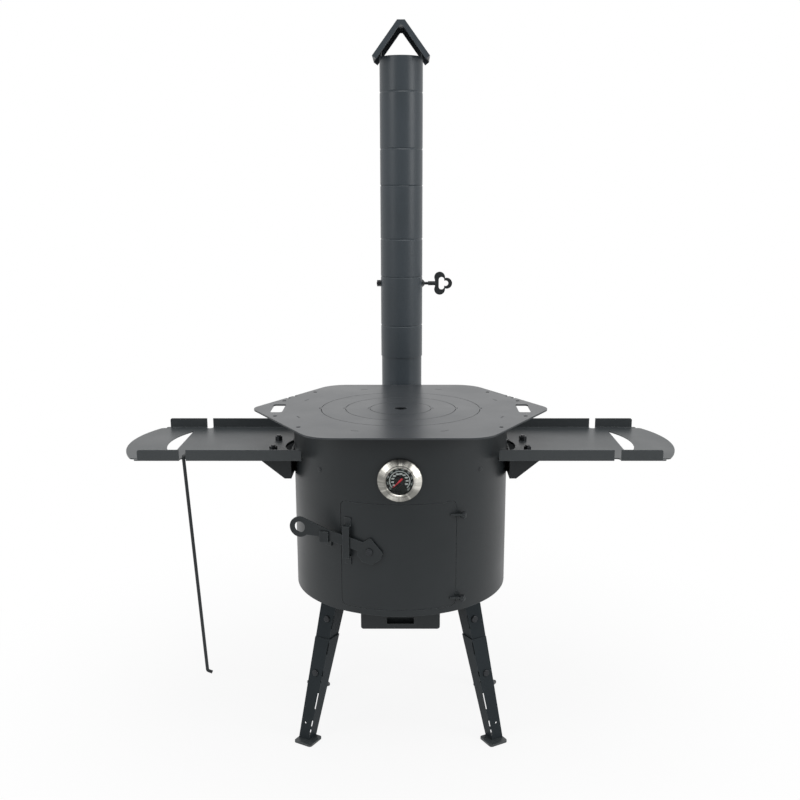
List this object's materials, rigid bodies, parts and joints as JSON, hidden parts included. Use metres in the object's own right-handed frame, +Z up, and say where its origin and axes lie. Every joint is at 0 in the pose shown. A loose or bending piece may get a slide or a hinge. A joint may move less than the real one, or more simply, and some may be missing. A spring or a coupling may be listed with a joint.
{
  "type": "cauldron stove",
  "caption": "Sheet-steel barrel stove with a hexagonal hot plate and lift-out rings, fire door with latch, ash drawer, chimney with damper, side trays and bolted legs.",
  "frame": {"origin": "middle of the whole stove's base rectangle, on the ground under it; the barrel's axis is 53 mm in front of it", "axes": "+Z up, -Y the front with the fire door, +X to the right seen from the front"},
  "size_m": [1.022, 0.578, 1.347],
  "materials": {
    "coated_steel": "matt anthracite powder coat",
    "chimney_steel": "matt anthracite powder coat, a little bluer",
    "plate_steel": "satin anthracite powder coat",
    "inner_steel": "matt black",
    "bright_steel": "brushed",
    "dial": "matt black with white scale",
    "needle": "red paint",
    "glass": "clear",
    "fasteners": "black zinc",
    "poker": "matt anthracite"
  },
  "bodies": {
    "stove": {"barrel_shell": "coated_steel", "barrel_floor": "inner_steel", "barrel_plugs": "coated_steel", "door_stop_frame": "inner_steel", "hinge_lugs_barrel": "coated_steel", "latch_catch": "coated_steel", "ash_box": "coated_steel", "side_tray_right": "coated_steel", "side_tray_left": "coated_steel", "tray_bracket_right": "coated_steel", "tray_bracket_left": "coated_steel", "leg_upper_front_right": "coated_steel", "leg_upper_front_left": "coated_steel", "leg_upper_rear_right": "coated_steel", "leg_upper_rear_left": "coated_steel", "leg_lower_front_right": "coated_steel", "leg_lower_front_left": "coated_steel", "leg_lower_rear_right": "coated_steel", "leg_lower_rear_left": "coated_steel", "leg_sockets": "coated_steel", "foot_plates": "coated_steel", "leg_bolts": "fasteners", "leg_wing_nuts": "fasteners", "flue_duct": "chimney_steel", "flue_spigot": "chimney_steel", "chimney_lower": "chimney_steel", "chimney_middle": "chimney_steel", "chimney_upper": "chimney_steel", "rain_cap": "chimney_steel", "cap_feet": "chimney_steel", "damper_bushes": "coated_steel", "hot_plate": "plate_steel", "plate_lugs": "plate_steel", "fire_grate": "inner_steel", "thermometer_bezel": "bright_steel", "thermometer_dial": "dial", "thermometer_glass": "glass", "thermometer_stem": "bright_steel", "thermometer_nut": "bright_steel", "hinge_pins": "fasteners", "tray_bolts": "fasteners", "tray_nuts": "fasteners"},
    "door": {"door_panel": "coated_steel", "hinge_lugs_door": "coated_steel", "latch_guide": "coated_steel", "latch_bolt": "fasteners", "latch_washer_and_nut": "fasteners"},
    "latch": {"latch_lever": "coated_steel"},
    "damper": {"damper_plate": "coated_steel", "damper_shaft": "fasteners", "damper_nut": "fasteners", "damper_key": "coated_steel"},
    "drawer": {"ash_drawer": "coated_steel"},
    "outer_ring": {"ring_outer": "plate_steel", "ring_outer_lugs": "plate_steel"},
    "middle_ring": {"ring_middle": "plate_steel", "ring_middle_lugs": "plate_steel"},
    "lid": {"centre_lid": "plate_steel"},
    "poker": {"poker": "poker"},
    "needle": {"thermometer_needle": "needle"}
  },
  "joints": [
    {"name": "door_swing", "type": "hinge", "parent": "stove", "child": "door", "pos_m": [0.11013, -0.23063, 0.3975], "axis": [0, 0, 1], "range_deg": [0, 120]},
    {"name": "latch_lift", "type": "hinge", "parent": "door", "child": "latch", "pos_m": [-0.05252, -0.24764, 0.414], "axis": [0.2605, 0.9655, 0], "range_deg": [0, 12.5]},
    {"name": "damper_turn", "type": "hinge", "parent": "stove", "child": "damper", "pos_m": [0, 0.237, 0.835], "axis": [1, 0, 0], "range_deg": [0, 90]},
    {"name": "drawer_slide", "type": "slide", "parent": "stove", "child": "drawer", "axis": [0, -1, 0], "range_m": [0, 0.18]},
    {"name": "outer_ring_lift", "type": "slide", "parent": "stove", "child": "outer_ring", "axis": [0, 0, 1], "range_m": [0, 0.08]},
    {"name": "middle_ring_lift", "type": "slide", "parent": "outer_ring", "child": "middle_ring", "axis": [0, 0, 1], "range_m": [0, 0.08]},
    {"name": "lid_lift", "type": "slide", "parent": "middle_ring", "child": "lid", "axis": [0, 0, 1], "range_m": [0, 0.08]},
    {"name": "poker_draw", "type": "slide", "parent": "stove", "child": "poker", "axis": [0, -1, 0], "range_m": [0, 0.06]},
    {"name": "needle_turn", "type": "hinge", "parent": "stove", "child": "needle", "pos_m": [0, -0.26, 0.545], "axis": [0, 1, 0], "range_deg": [0, 270]}
  ]
}
